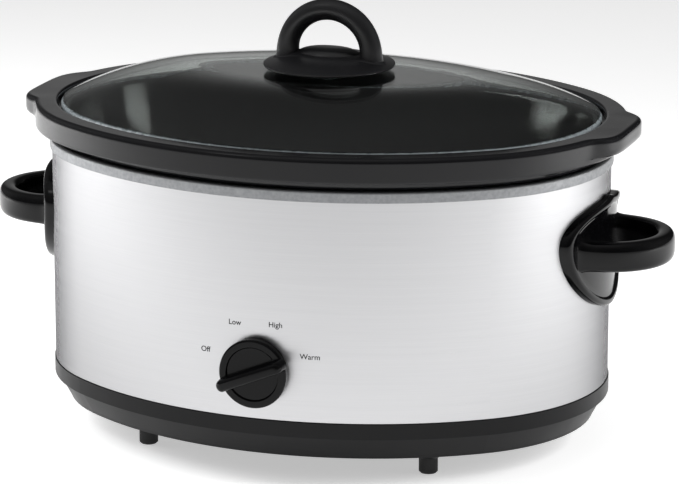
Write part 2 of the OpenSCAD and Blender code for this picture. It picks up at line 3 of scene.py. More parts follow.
import bmesh
import bpy
import numpy as np
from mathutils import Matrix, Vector


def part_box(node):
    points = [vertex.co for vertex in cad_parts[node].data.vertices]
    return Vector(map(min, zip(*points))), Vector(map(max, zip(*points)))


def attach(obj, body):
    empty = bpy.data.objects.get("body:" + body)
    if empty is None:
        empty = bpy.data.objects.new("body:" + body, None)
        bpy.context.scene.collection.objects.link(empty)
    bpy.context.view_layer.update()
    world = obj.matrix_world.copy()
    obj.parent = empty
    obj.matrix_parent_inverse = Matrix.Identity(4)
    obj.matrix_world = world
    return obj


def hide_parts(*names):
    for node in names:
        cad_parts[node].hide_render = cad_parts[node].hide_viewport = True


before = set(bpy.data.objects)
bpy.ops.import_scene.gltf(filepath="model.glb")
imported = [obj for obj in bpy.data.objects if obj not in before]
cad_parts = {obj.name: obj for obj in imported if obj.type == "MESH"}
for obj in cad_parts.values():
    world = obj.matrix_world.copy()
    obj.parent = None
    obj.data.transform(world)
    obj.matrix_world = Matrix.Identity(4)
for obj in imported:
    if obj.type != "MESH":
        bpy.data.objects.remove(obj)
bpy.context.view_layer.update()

# Oval slow cooker. Shapes are worked out in millimetres, in the CAD model's own frame: the
# table is at height 0, the knob faces -Y and the right-hand handle points along +X.


# ---------- sizes ----------

def corners(node):
    """Lowest and highest corner of a CAD node, in millimetres."""
    return [np.array(corner) * 1000 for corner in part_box(node)]


(_, _, WRAP_Z), (HALF_L, HALF_W, _) = corners("outer_wrap")
(_, _, WELL_LOW), (_, _, COLLAR_TOP) = corners("heating_well")
(_, _, CROCK_Z), (LUG_TIP, _, RIM_TOP) = corners("crock")
(_, _, LID_Z), (_, _, GLASS_TOP) = corners("lid_glass")
ARCH_TOP = corners("lid_handle")[1][2]
LOOP_TIP = corners("right_handle")[1][0]
(_, _, KNOB_LOW), (_, _, KNOB_HIGH) = corners("knob")
KNOB_Z = (KNOB_LOW + KNOB_HIGH) / 2
WRAP_T = 0.6
COLLAR_H = 7
GLASS_T = 4
DOME_RISE = GLASS_TOP - GLASS_T - LID_Z
RIM_OUT = 10
LUG_HALF = 47
PLATE_Z = 136
PLATE_HALF, PLATE_UP, PLATE_DOWN = 52.5, 22.0, 44.0
PLATE_MIDDLE = 128
PLATE_PROUD = 3.7
GRIP_Z = 130
LOOP_R = 34
BAR_OUT, BAR_UP = 6, 9
# The crock: how far the rim's face, the seat on the collar and the ledge for the lid go down
# from the rim's top, the floor's thickness, how sharply a lug's corners turn and how sharply
# it leaves the rim, and its droop over a run outwards.
RIM_DEEP, SEAT_DEEP, LEDGE_DEEP = 15.5, 5.7, 4.8
CROCK_FLOOR_T = 8
LUG_CORNER, LUG_LEAVE = 5.0, 45
LUG_DROOP, LUG_RUN = 2.2, 22
TUCK_RUN = 8
# The lid's edge is a half circle that stands this far inside the wrap's outline, and the
# dome levels off where the end arcs have shrunk to DOME_LEVEL_R.
LID_IN = 6
EDGE_R = GLASS_T / 2
DOME_LEVEL_R = 14
GRIP_FOOT = 5
KNOB_TILT = 22.5
# The printed words, in metres, and how far they stand off the steel, in millimetres.
WORD_SIZE, WORD_BOLD, WORD_T = 0.0046, 0.00004, 0.00002
WORD_PROUD = 0.05

# The oval is drawn with four arcs: two ends of radius END_R about (+-END_X, 0), and a front
# and a back of radius SIDE_R about (0, +-SIDE_Y). The centres make a 3-4-5 triangle.
CENTRES_APART = 2.5 * (HALF_L - HALF_W)
END_X = 0.6 * CENTRES_APART
SIDE_Y = 0.8 * CENTRES_APART
END_R = HALF_L - END_X
SIDE_R = HALF_W + SIDE_Y
END_ANGLE = math.atan2(4, 3)


# ---------- camera, floor and light ----------

# Places are in metres, angles in degrees, and the lens and its sensor in millimetres.
LENS, SENSOR = 206.1, 36
CAMERA_AIM = (0.0062, 0.001, 0.1155)
CAMERA_TURN, CAMERA_LIFT = 18.99, 14.62
CAMERA_AWAY = 2.4
FLOOR_HALF = 5.0
LAMP_SIZE, LAMP_WATTS = (0.5, 1.0), 15
# The room's own dark grey. It scales the base and every glow.
ROOM_GREY = (0.05, 0.05, 0.05, 1.0)


def way_to(turn, lift):
    """The direction so many degrees round from the front towards +X, and so many up."""
    turn, lift = math.radians(turn), math.radians(lift)
    return Vector((math.sin(turn) * math.cos(lift), -math.cos(turn) * math.cos(lift),
                   math.sin(lift)))


def set_up(name, data, place, facing):
    """Stands a camera or a lamp at a place, facing along a direction."""
    holder = bpy.data.objects.new(name, data)
    holder.location = place
    holder.rotation_mode = "QUATERNION"
    holder.rotation_quaternion = facing.to_track_quat("-Z", "Y")
    bpy.context.scene.collection.objects.link(holder)
    return holder


def camera():
    """A long lens about 2.4 m away, 19 degrees round to the right and 15 degrees up."""
    lens = bpy.data.cameras.new("camera")
    lens.lens, lens.sensor_width = LENS, SENSOR
    lens.clip_start, lens.clip_end = 0.1, 30
    back = way_to(CAMERA_TURN, CAMERA_LIFT)
    place = Vector(CAMERA_AIM) + CAMERA_AWAY * back
    bpy.context.scene.camera = set_up("camera", lens, place, -back)


def linear(code, alpha=1.0):
    """An sRGB hex value as linear red, green, blue and alpha."""
    srgb = np.array([int(code[i:i + 2], 16) for i in (1, 3, 5)]) / 255
    light = np.where(srgb <= 0.04045, srgb / 12.92, ((srgb + 0.055) / 1.055) ** 2.4)
    return (*light.tolist(), alpha)


def add(tree, kind, values=None, **settings):
    """Adds a shader node. A value that is another node's output is linked, not copied."""
    node = tree.nodes.new("ShaderNode" + kind)
    for key, value in settings.items():
        setattr(node, key, value)
    for key, value in (values or {}).items():
        if isinstance(value, bpy.types.NodeSocket):
            tree.links.new(value, node.inputs[key])
        else:
            node.inputs[key].default_value = value
    return node


def softbox(name, place, aim):
    """A rectangular lamp that faces a point. It lights the floor, but neither it nor its
    mirror image shows."""
    lamp = bpy.data.lights.new(name, "AREA")
    lamp.shape, lamp.size, lamp.size_y = "RECTANGLE", *LAMP_SIZE
    lamp.energy = LAMP_WATTS
    holder = set_up(name, lamp, place, Vector(aim) - Vector(place))
    holder.visible_camera = False
    holder.visible_glossy = False


def room(base, glows):
    """The light of the room: an even base, plus glows with soft edges. A glow's light is its
    strength times e to the power of its sharpness times (cosine of the angle away, minus 1)."""
    world = bpy.data.worlds.new("white room")
    world.use_nodes = True
    tree = world.node_tree
    look = add(tree, "TexCoord").outputs["Generated"]
    total = base
    for turn, lift, sharpness, strength in glows:
        near = add(tree, "VectorMath", {0: look, 1: way_to(turn, lift)},
                   operation="DOT_PRODUCT")
        fall = add(tree, "Math", {0: near.outputs["Value"], 1: sharpness, 2: -sharpness},
                   operation="MULTIPLY_ADD")
        soft = add(tree, "Math", {0: fall.outputs[0]}, operation="EXPONENT")
        total = add(tree, "Math", {0: soft.outputs[0], 1: strength, 2: total},
                    operation="MULTIPLY_ADD").outputs[0]
    background = tree.nodes["Background"]
    background.inputs["Color"].default_value = ROOM_GREY
    tree.links.new(total, background.inputs["Strength"])
    return world


def studio():
    """A pale floor, lit a little from below as a light table is, in a white room. The room
    glows from above, from both sides and low from behind, with a dark flag behind on the
    right and a small bright glow high on the left, and two lamps beside the object brighten
    the floor there."""
    scene = bpy.context.scene
    scene.view_settings.view_transform = "Standard"
    # Each glow: degrees round from the front towards +X, degrees up, sharpness, strength.
    scene.world = room(0.8, [(-20, 72, 5, 8.2), (-98, 20, 8, 4.4), (105, 20, 5, 4.2),
                             (-30, 14, 6, 2.2), (170, 5, 5, -0.7), (-160, 10, 70, 6.5),
                             (-42, 52, 300, 42)])
    half = FLOOR_HALF
    floor = bpy.data.meshes.new("floor")
    floor.from_pydata([(-half, -half, 0), (half, -half, 0), (half, half, 0), (-half, half, 0)],
                      [], [(0, 1, 2, 3)])
    holder = bpy.data.objects.new("floor", floor)
    scene.collection.objects.link(holder)
    paper = bpy.data.materials.new("white paper sweep")
    paper.use_nodes = True
    tree = paper.node_tree
    shader = tree.nodes["Principled BSDF"]
    place = add(tree, "TexCoord")
    # Paper fibre is far finer than shows, so this only keeps the sweep from being flat.
    fibre = add(tree, "TexNoise", {"Vector": place.outputs["Object"], "Scale": 40.0})
    tone = add(tree, "MapRange", {"Value": fibre.outputs["Fac"], "To Min": 0.86, "To Max": 0.88})
    tree.links.new(tone.outputs["Result"], shader.inputs["Base Color"])
    shader.inputs["Roughness"].default_value = 0.9
    shader.inputs["Specular IOR Level"].default_value = 0.1
    shader.inputs["Emission Color"].default_value = linear("#ffffff")
    shader.inputs["Emission Strength"].default_value = 0.48
    floor.materials.append(paper)
    softbox("left", (-1.1, 0.0, 0.6), (-0.5, -0.1, 0))
    softbox("right", (1.2, 0.2, 0.6), (0.6, 0.1, 0))


# ---------- materials ----------

def finish(name, colour, shade=None, patch=40, roughness=(0.4, 0.5), grain=0.8, depth=0.02,
           **shader_values):
    """A material with a base colour that drifts to a second shade over patches of a size in
    millimetres, a roughness that wanders between two values, and a grain with its spacing and
    depth in millimetres. Other shader inputs are set on the shader itself."""
    material = bpy.data.materials.new(name)
    material.use_nodes = True
    tree = material.node_tree
    shader = tree.nodes["Principled BSDF"]
    place = add(tree, "TexCoord").outputs["Object"]
    patches = add(tree, "TexNoise", {"Vector": place, "Scale": 1000 / patch, "Detail": 3.0})
    drift = add(tree, "Mix", {0: patches.outputs["Fac"], 6: linear(colour),
                              7: linear(shade or colour)}, data_type="RGBA")
    tree.links.new(drift.outputs[2], shader.inputs["Base Color"])
    grains = add(tree, "TexNoise", {"Vector": place, "Scale": 1000 / grain, "Detail": 4.0})
    if roughness[0] == roughness[1]:
        shader.inputs["Roughness"].default_value = roughness[0]
    else:
        wander = add(tree, "MapRange", {"Value": patches.outputs["Fac"], "From Min": 0.3,
                                        "From Max": 0.7, "To Min": roughness[0],
                                        "To Max": roughness[1]})
        tree.links.new(wander.outputs["Result"], shader.inputs["Roughness"])
    bump = add(tree, "Bump", {"Height": grains.outputs["Fac"], "Distance": depth / 1000,
                              "Strength": 1.0})
    tree.links.new(bump.outputs["Normal"], shader.inputs["Normal"])
    for key, value in shader_values.items():
        shader.inputs[key.replace("_", " ")].default_value = value
    return material


# How many scratches and broad streaks a metre of the sheet holds, along and up: about 60 mm
# long and 0.5 mm apart, and about 330 mm long and 4 mm apart.
SCRATCHES, STREAKS = (16.0, 2000.0, 1.0), (3.0, 260.0, 1.0)


def brushed_stainless():
    """Stainless sheet, belt-brushed round the body: fine level scratches that pull every
    reflection into an upright band. The scratches are about 0.05 mm apart on the real sheet,
    and are drawn ten times as coarse so that they show."""
    material = bpy.data.materials.new("belt-brushed stainless steel")
    material.use_nodes = True
    tree = material.node_tree
    shader = tree.nodes["Principled BSDF"]
    around = add(tree, "UVMap", uv_map="round_and_up").outputs["UV"]
    stretched = add(tree, "Mapping", {"Vector": around, "Scale": SCRATCHES})
    scratch = add(tree, "TexNoise", {"Vector": stretched.outputs["Vector"], "Scale": 1.0,
                                     "Detail": 5.0, "Roughness": 0.6})
    long = add(tree, "Mapping", {"Vector": around, "Scale": STREAKS})
    streak = add(tree, "TexNoise", {"Vector": long.outputs["Vector"], "Scale": 1.0,
                                    "Detail": 2.0})
    both = add(tree, "Mix", {0: 0.35, 2: scratch.outputs["Fac"], 3: streak.outputs["Fac"]})
    tone = add(tree, "Mix", {0: both.outputs[0], 6: linear("#bebec0"), 7: linear("#d3d3d4")},
               data_type="RGBA")
    tree.links.new(tone.outputs[2], shader.inputs["Base Color"])
    rough = add(tree, "MapRange", {"Value": both.outputs[0], "From Min": 0.3, "From Max": 0.7,
                                   "To Min": 0.27, "To Max": 0.37})
    tree.links.new(rough.outputs["Result"], shader.inputs["Roughness"])
    bump = add(tree, "Bump", {"Height": scratch.outputs["Fac"], "Distance": 0.000012,
                              "Strength": 1.0})
    tree.links.new(bump.outputs["Normal"], shader.inputs["Normal"])
    shader.inputs["Metallic"].default_value = 1.0
    shader.inputs["Anisotropic"].default_value = 0.75
    # The edge tint is black, so the steel darkens at grazing angles near its outline: painted
    # shade, standing in for dark reflections there.
    shader.inputs["Specular Tint"].default_value = linear("#000000")
    return material


def tempered_glass():
    """Clear soda-lime glass, pressed and fire-polished: smooth, with a faint grey-green
    body and the slightest waviness."""
    return finish("tempered soda-lime glass", "#f4f8f6", "#eef4f1", patch=60,
                  roughness=(0.0, 0.0), grain=30, depth=0.01, IOR=1.5,
                  Transmission_Weight=1.0)


BRUSHED = brushed_stainless()
GLASS = tempered_glass()
# The lid's edge: pale, rough glass that lets some light through, a painted highlight that shows
# as a pale line.
PAINTED_HIGHLIGHT_GLASS = finish("glass edge with painted highlight", "#aeb6ba", "#9ba4a8", 6, (0.22, 0.34), 0.5, 0.02,
                      IOR=1.5, Transmission_Weight=0.35)
# Aluminised steel, deep-drawn: a dull, even satin metal.
ALUMINISED = finish("drawn aluminised steel", "#a4a5a7", "#8b8d8f", 2, (0.34, 0.48), 0.7,
                    0.02, Metallic=1.0)
# Bright zinc plating on screws and nuts: cool, slightly mottled metal.
ZINC = finish("bright zinc plating", "#c3c8cd", "#a7adb4", 2, (0.25, 0.4), 0.4, 0.01,
              Metallic=1.0)
# Rolled aluminium foil stock: bright, with a faint roll grain.
REFLECTOR = finish("rolled aluminium sheet", "#d4d6d8", "#c4c6c8", 25, (0.2, 0.32), 0.9, 0.01,
                   Metallic=1.0)
# Glass-filled polypropylene with a fine spark texture: satin black.
POLYPROPYLENE = finish("spark-textured black polypropylene", "#0f0f10", "#141415", 25,
                       (0.34, 0.42), 0.7, 0.025, IOR=1.49, Specular_IOR_Level=0.22)
# Polished compression-moulded phenolic: deep black with sharp reflections.
PHENOLIC = finish("polished black phenolic", "#040405", "#070708", 30, (0.08, 0.13), 3, 0.004,
                  IOR=1.6, Specular_IOR_Level=0.2)
# The same resin, left satin on the lid's grip.
SATIN_PHENOLIC = finish("satin black phenolic", "#121214", "#18181a", 30, (0.3, 0.36), 0.8,
                        0.012, IOR=1.6, Specular_IOR_Level=0.5)
# Moulded ABS with a fine satin face.
ABS = finish("moulded black ABS", "#060607", "#0a0a0b", 20, (0.16, 0.2), 0.5, 0.006, IOR=1.54,
             Specular_IOR_Level=0.16)
# Stoneware under a thick black gloss glaze, with the soft orange-peel of a fired surface.
GLAZE = finish("black gloss-glazed stoneware", "#0e0e10", "#151517", 18, (0.1, 0.16), 9, 0.04,
               IOR=1.5, Specular_IOR_Level=0.36)
RUBBER = finish("moulded nitrile rubber", "#161616", "#1d1d1d", 6, (0.6, 0.75), 0.5, 0.03,
                IOR=1.52)
SILICONE = finish("moulded silicone rubber", "#2b2b2c", "#333334", 8, (0.45, 0.6), 0.6, 0.02,
                  IOR=1.41)
HEATER_MAT = finish("woven glass-fibre heater mat", "#cdb98f", "#bda77c", 4, (0.75, 0.9), 1.2,
                    0.15, IOR=1.5)
STEATITE = finish("fired steatite", "#e2ddd0", "#d6d0c1", 5, (0.5, 0.65), 0.4, 0.02, IOR=1.6)
NYLON = finish("moulded grey polyamide", "#353537", "#3d3d3f", 10, (0.4, 0.55), 0.5, 0.02,
               IOR=1.53)
WIRES = {
    name: finish(f"{name} silicone wire jacket", colour, shade, 5, (0.4, 0.55), 0.4, 0.01,
                 IOR=1.43)
    for name, colour, shade in [("brown", "#6b3f24", "#5f361e"), ("red", "#8a2d22", "#7b261c"),
                                ("blue", "#2b4b78", "#244169"), ("green", "#6d8a3a", "#c2b032")]
}
INK = finish("screen-printed black ink", "#050505", "#0a0a0a", 2, (0.5, 0.6), 0.3, 0.004,
             Specular_IOR_Level=0.2)

for node, material in {
    "base_pan": POLYPROPYLENE, "feet": RUBBER, "foot_screws": ZINC, "heat_shield": REFLECTOR,
    "tie_studs": ZINC, "tie_spacers": STEATITE, "tie_nuts": ZINC,
    "lower_heater": HEATER_MAT, "upper_heater": HEATER_MAT, "heater_clips": ZINC,
    "thermal_fuse": STEATITE, "fuse_clip": ZINC, "handle_backings": ZINC,
    "handle_screws": ZINC, "rotary_switch": NYLON, "switch_nut": ZINC, "switch_shaft": ZINC,
    "knob_clip": ZINC, "cord_gland": POLYPROPYLENE, "terminal_block": STEATITE,
    "live_wire": WIRES["brown"], "low_wire": WIRES["red"], "high_wire": WIRES["red"],
    "neutral_wire": WIRES["blue"], "earth_wire": WIRES["green"], "lid_washer": SILICONE,
    "lid_screw": ZINC,
}.items():
    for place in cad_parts[node].material_slots:
        place.material = material


# ---------- making surfaces ----------

def piece(name, body, material, grids, nodes=(), sharp=40, uv=None):
    """Makes one closed piece from grids of points, rows by columns, in millimetres. Edges that
    meet, and rows that shrink to a point, are merged, and the faces are turned outwards."""
    points = np.concatenate([grid.reshape(-1, 3) for grid in grids]) / 1000
    quads, start = [], 0
    for grid in grids:
        rows, columns = grid.shape[:2]
        index = np.arange(start, start + rows * columns).reshape(rows, columns)
        quads.append(np.stack([index[:-1, :-1], index[1:, :-1], index[1:, 1:],
                               index[:-1, 1:]], -1).reshape(-1, 4))
        start += rows * columns
    quads = np.concatenate(quads)
    mesh = bpy.data.meshes.new(name)
    mesh.vertices.add(len(points))
    mesh.vertices.foreach_set("co", points.ravel())
    mesh.loops.add(quads.size)
    mesh.loops.foreach_set("vertex_index", quads.ravel())
    mesh.polygons.add(len(quads))
    mesh.polygons.foreach_set("loop_start", np.arange(0, quads.size, 4))
    mesh.update(calc_edges=True)
    if uv is not None:
        layer = mesh.uv_layers.new(name="round_and_up")
        layer.data.foreach_set("uv", uv.reshape(-1, 2)[quads.ravel()].ravel())
    shape = bmesh.new()
    shape.from_mesh(mesh)
    bmesh.ops.remove_doubles(shape, verts=shape.verts, dist=2e-6)
    bmesh.ops.dissolve_degenerate(shape, edges=shape.edges, dist=1e-7)
    bmesh.ops.recalc_face_normals(shape, faces=shape.faces)
    shape.to_mesh(mesh)
    shape.free()
    mesh.polygons.foreach_set("use_smooth", np.ones(len(mesh.polygons), bool))
    mesh.set_sharp_from_angle(angle=math.radians(sharp))
    mesh.materials.append(material)
    made = bpy.data.objects.new(name, mesh)
    bpy.context.scene.collection.objects.link(made)
    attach(made, body)
    if nodes:
        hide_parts(*nodes)
    return made


def rounded(points, radii, n=6):
    """A line through points with each corner turned into a quadratic curve, which starts and
    ends its radius away from the corner. A point just outside each curve holds the flats."""
    points = np.asarray(points, float)
    line = [points[:1]]
    t = np.linspace(0, 1, n)[:, None]
    for before, corner, after, r in zip(points, points[1:], points[2:],
                                        np.broadcast_to(radii, len(points))[1:]):
        if r == 0:
            line.append(corner[None])
            continue
        away = [(end - corner) / np.linalg.norm(end - corner) for end in (before, after)]
        room = min(np.linalg.norm(before - corner), np.linalg.norm(after - corner)) / 2
        r = min(r, room * 0.98)
        curve = ((1 - t) ** 2 * (corner + away[0] * r) + 2 * t * (1 - t) * corner
                 + t ** 2 * (corner + away[1] * r))
        hold = min(1.3 * r, room)
        line += [(corner + away[0] * hold)[None], curve, (corner + away[1] * hold)[None]]
    return np.concatenate(line + [points[-1:]])


def outline(n_end=72, n_side=56):
    """Samples round the oval, anticlockwise from the front of the right-hand end: the centre
    of each sample's arc, its radius, its outward direction and the distance so far. The last
    sample is the first again, so that a surface over it closes."""
    centre, radius, angle = [], [], []
    for q, (x, y) in enumerate([(END_X, 0), (0, -SIDE_Y), (-END_X, 0), (0, SIDE_Y)]):
        half = math.pi / 2 - END_ANGLE if q % 2 else END_ANGLE
        n = n_side if q % 2 else n_end
        angle.append(q * math.pi / 2 + half * np.linspace(-1, 1, n, endpoint=False))
        centre.append(np.tile((x, y), (n, 1)))
        radius.append(np.full(n, SIDE_R if q % 2 else END_R))
    centre, radius, angle = map(np.concatenate, (centre, radius, angle))
    centre = np.vstack([centre, centre[:1]])
    radius = np.append(radius, radius[0])
    angle = np.append(angle, angle[0] + 2 * math.pi)
    direction = np.stack([np.cos(angle), np.sin(angle)], -1)
    edge = centre + radius[:, None] * direction
    gone = np.append(0, np.cumsum(np.linalg.norm(np.diff(edge, axis=0), axis=1)))
    return centre, radius, direction, gone


def around(path, reach, height):
    """Carries a profile round the oval: each point stands its reach outwards from the wrap's
    outline, along the outline's normal, at its height."""
    centre, radius, direction, _ = path
    reach = np.broadcast_to(reach, (len(radius), np.shape(reach)[-1]))
    flat = centre[:, None] + (radius[:, None] + reach)[..., None] * direction[:, None]
    return np.dstack([flat, np.broadcast_to(height, reach.shape)])


def filled(grid):
    """Closes both ends of a profile that has been carried round, with level plates: the end
    rings shrunk towards the middle in steps."""
    share = np.linspace(0, 0.9, 6)[:, None] * [1, 1, 0] + [0, 0, 1]
    return np.concatenate([grid[:, :1] * share, grid, grid[:, -1:] * share[::-1]], axis=1)


def spun(radius, height, n=96):
    """A profile of radius and height turned once round an upright axis."""
    angle = np.linspace(0, 2 * math.pi, n + 1)[:, None]
    radius = np.asarray(radius)[None]
    return np.dstack([radius * np.cos(angle), radius * np.sin(angle),
                      np.broadcast_to(height, (n + 1, radius.size))])


def swept(centres, across, up, width, height, power=1.0, n=40):
    """A section carried along a line. The section is a rounded rectangle: cosine and sine,
    each raised to a power below one for squarer corners, times the half width along `across`
    and the half height along `up`. Both ends shrink to a point."""
    angle = np.linspace(0, 2 * math.pi, n + 1)
    c, s = np.cos(angle), np.sin(angle)
    c = np.sign(c) * np.abs(c) ** power
    s = np.sign(s) * np.abs(s) ** power
    ring = (width[:, None, None] * c[:, None] * across[:, None]
            + height[:, None, None] * s[:, None] * up[:, None])
    body = centres[:, None] + ring
    first, last = [centres[i] + 0 * body[i] for i in (0, -1)]
    return np.concatenate([first[None], body, last[None]])


def mound(half_x, half_y, rise, z, power=0.6, n=64, m=16):
    """A crowned pad: ellipses stacked up, each as wide as the cosine of the climb to a power,
    at a height that is its sine, and closed underneath."""
    climb = np.linspace(0, math.pi / 2, m)
    wide = np.append(0, np.cos(climb) ** power)
    high = np.append(0, np.sin(climb))
    angle = np.linspace(0, 2 * math.pi, n + 1)[:, None]
    return np.dstack([half_x * wide * np.cos(angle), half_y * wide * np.sin(angle),
                      np.broadcast_to(z + rise * high, (n + 1, m + 1))])


# ---------- pieces of the body ----------

def steel_wrap():
    """The steel sheet round the body: a thin upright strip carried round the oval, which runs
    on up inside the collar. Its map is the distance round and the height, in metres."""
    path = outline(120, 90)
    low, high = WRAP_Z, COLLAR_TOP - 2
    profile = rounded([(-WRAP_T / 2, low), (0, low), (0, (low + high) / 2), (0, high),
                       (-WRAP_T, high), (-WRAP_T, low), (-WRAP_T / 2, low)],
                      [0, 0.15, 0, 0.15, 0.15, 0.15, 0], 3)
    grid = around(path, profile[:, 0], profile[:, 1])
    uv = np.dstack(np.broadcast_arrays(path[3][:, None] / 1000, grid[..., 2] / 1000))
    piece("steel_wrap", "body", BRUSHED, [grid], ["outer_wrap"], uv=uv)


def collar_and_well():
    """The drawn well, one sheet: a rolled collar over the wrap's top edge, a wall that leans
    in to a rounded foot, and a level floor."""
    t = 0.8
    z = COLLAR_TOP
    floor = WELL_LOW + t
    seen = rounded([(0.3, z - COLLAR_H), (1.4, z - COLLAR_H), (1.4, z), (-9, z), (-30, floor),
                    (-52, floor)], [0, 0.3, 1.6, 2.2, 16, 0], 8)
    hidden = rounded([(-52, floor - t), (-30 + t / 2, floor - t), (-9 + t, z - t),
                      (0.3, z - t), (0.3, z - COLLAR_H)], [0, 16, 1, 0.3, 0], 8)
    line = np.concatenate([hidden, seen[1:]])
    grid = filled(around(outline(90, 64), line[:, 0], line[:, 1]))
    piece("collar_and_well", "body", ALUMINISED, [grid], ["heating_well"])


def stoneware_crock():
    """The crock, from the middle of its underside round to the middle of its floor. Where the
    rim passes a lug, its outer points move out to the lug's own edge, which in plan is the
    nearer of a straight tip and two straight sides, joined by rounded corners. The lug's
    underside starts part way up the rim's face, and its top droops a little to the tip."""
    path = outline(150, 60)
    top = RIM_TOP
    rim = top - RIM_DEEP
    seat = rim - SEAT_DEEP
    ledge, floor = top - LEDGE_DEEP, CROCK_Z + CROCK_FLOOR_T
    under = rounded([(-57, CROCK_Z), (-32.5, CROCK_Z), (-11.5, seat - 4)], [0, 13, 0], 8)
    neck = rounded([(-11.5, seat - 4), (-10.5, seat), (-1, seat), (2, rim), (10, rim),
                    (10, rim + 3.2)], [0, 0.8, 1, 1.5, 2.2, 0], 6)
    lug = np.array([(10, rim + 3.7), (10, rim + 4.3), (10, rim + 5.4), (10, rim + 6.8),
                    (10, rim + 8.2)])
    edge = rounded([(10, rim + 8.6), (10, top), (2, top)], [0, 5.6, 0], 10)
    lip = rounded([(2, top), (-3.5, top), (-4.3, ledge), (-12.5, ledge), (-39.5, floor),
                   (-57, floor)], [0, 1.5, 0.6, 3, 12, 0], 8)
    parts = [under, neck, lug, edge, lip[1:]]
    line = np.concatenate(parts)
    follow = np.concatenate([np.full(len(part), w) for part, w in zip(parts, (0, 0, 1, 1, 0))])
    tuck = np.zeros(len(line))
    begin = len(under) + len(neck)
    tuck[begin:begin + len(lug)] = (3.2, 1.5, 0.4, 0.05, 0)
    c, s = np.abs(path[2]).T
    reach = (((LUG_TIP - END_X) / np.maximum(c, 1e-6)) ** -LUG_CORNER
             + (LUG_HALF / np.maximum(s, 1e-6)) ** -LUG_CORNER) ** (-1 / LUG_CORNER)
    rim_r = END_R + RIM_OUT
    reach = rim_r * ((reach / rim_r) ** LUG_LEAVE + 1) ** (1 / LUG_LEAVE)
    extra = np.where(path[1] == END_R, reach - rim_r, 0)[:, None]
    near = np.minimum(extra / TUCK_RUN, 1)
    grid = around(path, line[:, 0] + follow * extra - tuck * near,
                  line[:, 1] - follow * LUG_DROOP * (extra / LUG_RUN) ** 2)
    piece("stoneware_crock", "crock", GLAZE, [filled(grid)], ["crock"])


def lid_dome():
    """The glass lid: its underside rises from the edge as a parabola of the distance in, and
    levels off where the end arcs have shrunk to a small radius. The top runs parallel to it, and
    the edge between them is nearly a half circle, inside a thin pale band that is a painted
    highlight."""
    path = outline(110, 80)
    run_max = END_R - DOME_LEVEL_R - LID_IN
    middle_in, middle_z = -(LID_IN + EDGE_R), LID_Z + EDGE_R
    run = run_max * (1 - np.linspace(0, 0.985, 34) ** 0.8)
    dome = DOME_RISE * (1 - (1 - run / run_max) ** 2)
    turn = np.radians(np.linspace(-80, 80, 9))
    edge = np.stack([middle_in + EDGE_R * np.cos(turn), middle_z + EDGE_R * np.sin(turn)], -1)
    under = np.stack([-LID_IN - run, LID_Z + dome], -1)
    over = np.stack([-LID_IN - run, LID_Z + GLASS_T + dome], -1)[::-1]
    line = np.concatenate([under, edge, over])
    piece("lid_dome", "lid", GLASS,
          [filled(around(path, line[:, 0], line[:, 1]))], ["lid_glass"], sharp=60)
    # The thin pale band round the lid's edge is a painted highlight.
    turn = np.radians(np.append(np.linspace(-84, 84, 13), np.linspace(70, -84, 12)))
    radius = np.append(np.full(13, 2.04), np.append(np.full(11, 1.7), 2.04))
    piece("lid_edge", "lid", PAINTED_HIGHLIGHT_GLASS,
          [around(path, middle_in + radius * np.cos(turn), middle_z + radius * np.sin(turn))])


def lid_grip():
    """The lid's grip: a lens-shaped disc, a crowned pad on it, and a round bar bent into half
    a circle, whose feet swell where they run into the pad."""
    z = GLASS_TOP
    disc = rounded([(0, z + 0.2), (28, z + 0.2), (40.2, z + 3.2), (40.4, z + 4.6),
                    (24, z + 9.2), (0, z + 10.6)], [0, 3, 0.6, 0.9, 10, 0], 8)
    bend, thick = 26.75, 6.5
    rise = ARCH_TOP - z - bend - thick
    climb = np.linspace(0, 1, 8)[:-1]
    angle = np.concatenate([0 * climb, np.linspace(0, math.pi, 57), math.pi + 0 * climb])
    foot = np.concatenate([GRIP_FOOT + (rise - GRIP_FOOT) * climb, np.full(57, rise),
                           GRIP_FOOT + (rise - GRIP_FOOT) * climb[::-1]])
    zero = 0 * angle
    out = np.stack([np.cos(angle), zero, np.sin(angle)], -1)
    centres = bend * out + np.stack([zero, zero, z + foot], -1)
    height = centres[:, 2] - z - GRIP_FOOT
    swell = 1 + 0.28 * np.exp(-height / 5)
    side = np.tile((0.0, 1.0, 0.0), (len(angle), 1))
    bar = swept(centres, out, side, thick * swell, thick * swell)
    piece("lid_grip", "lid", SATIN_PHENOLIC,
          [spun(disc[:, 0], disc[:, 1]), mound(37, 16, 7.5, z + 4), mound(24, 13, 10.5, z + 4),
           bar], ["lid_handle"])


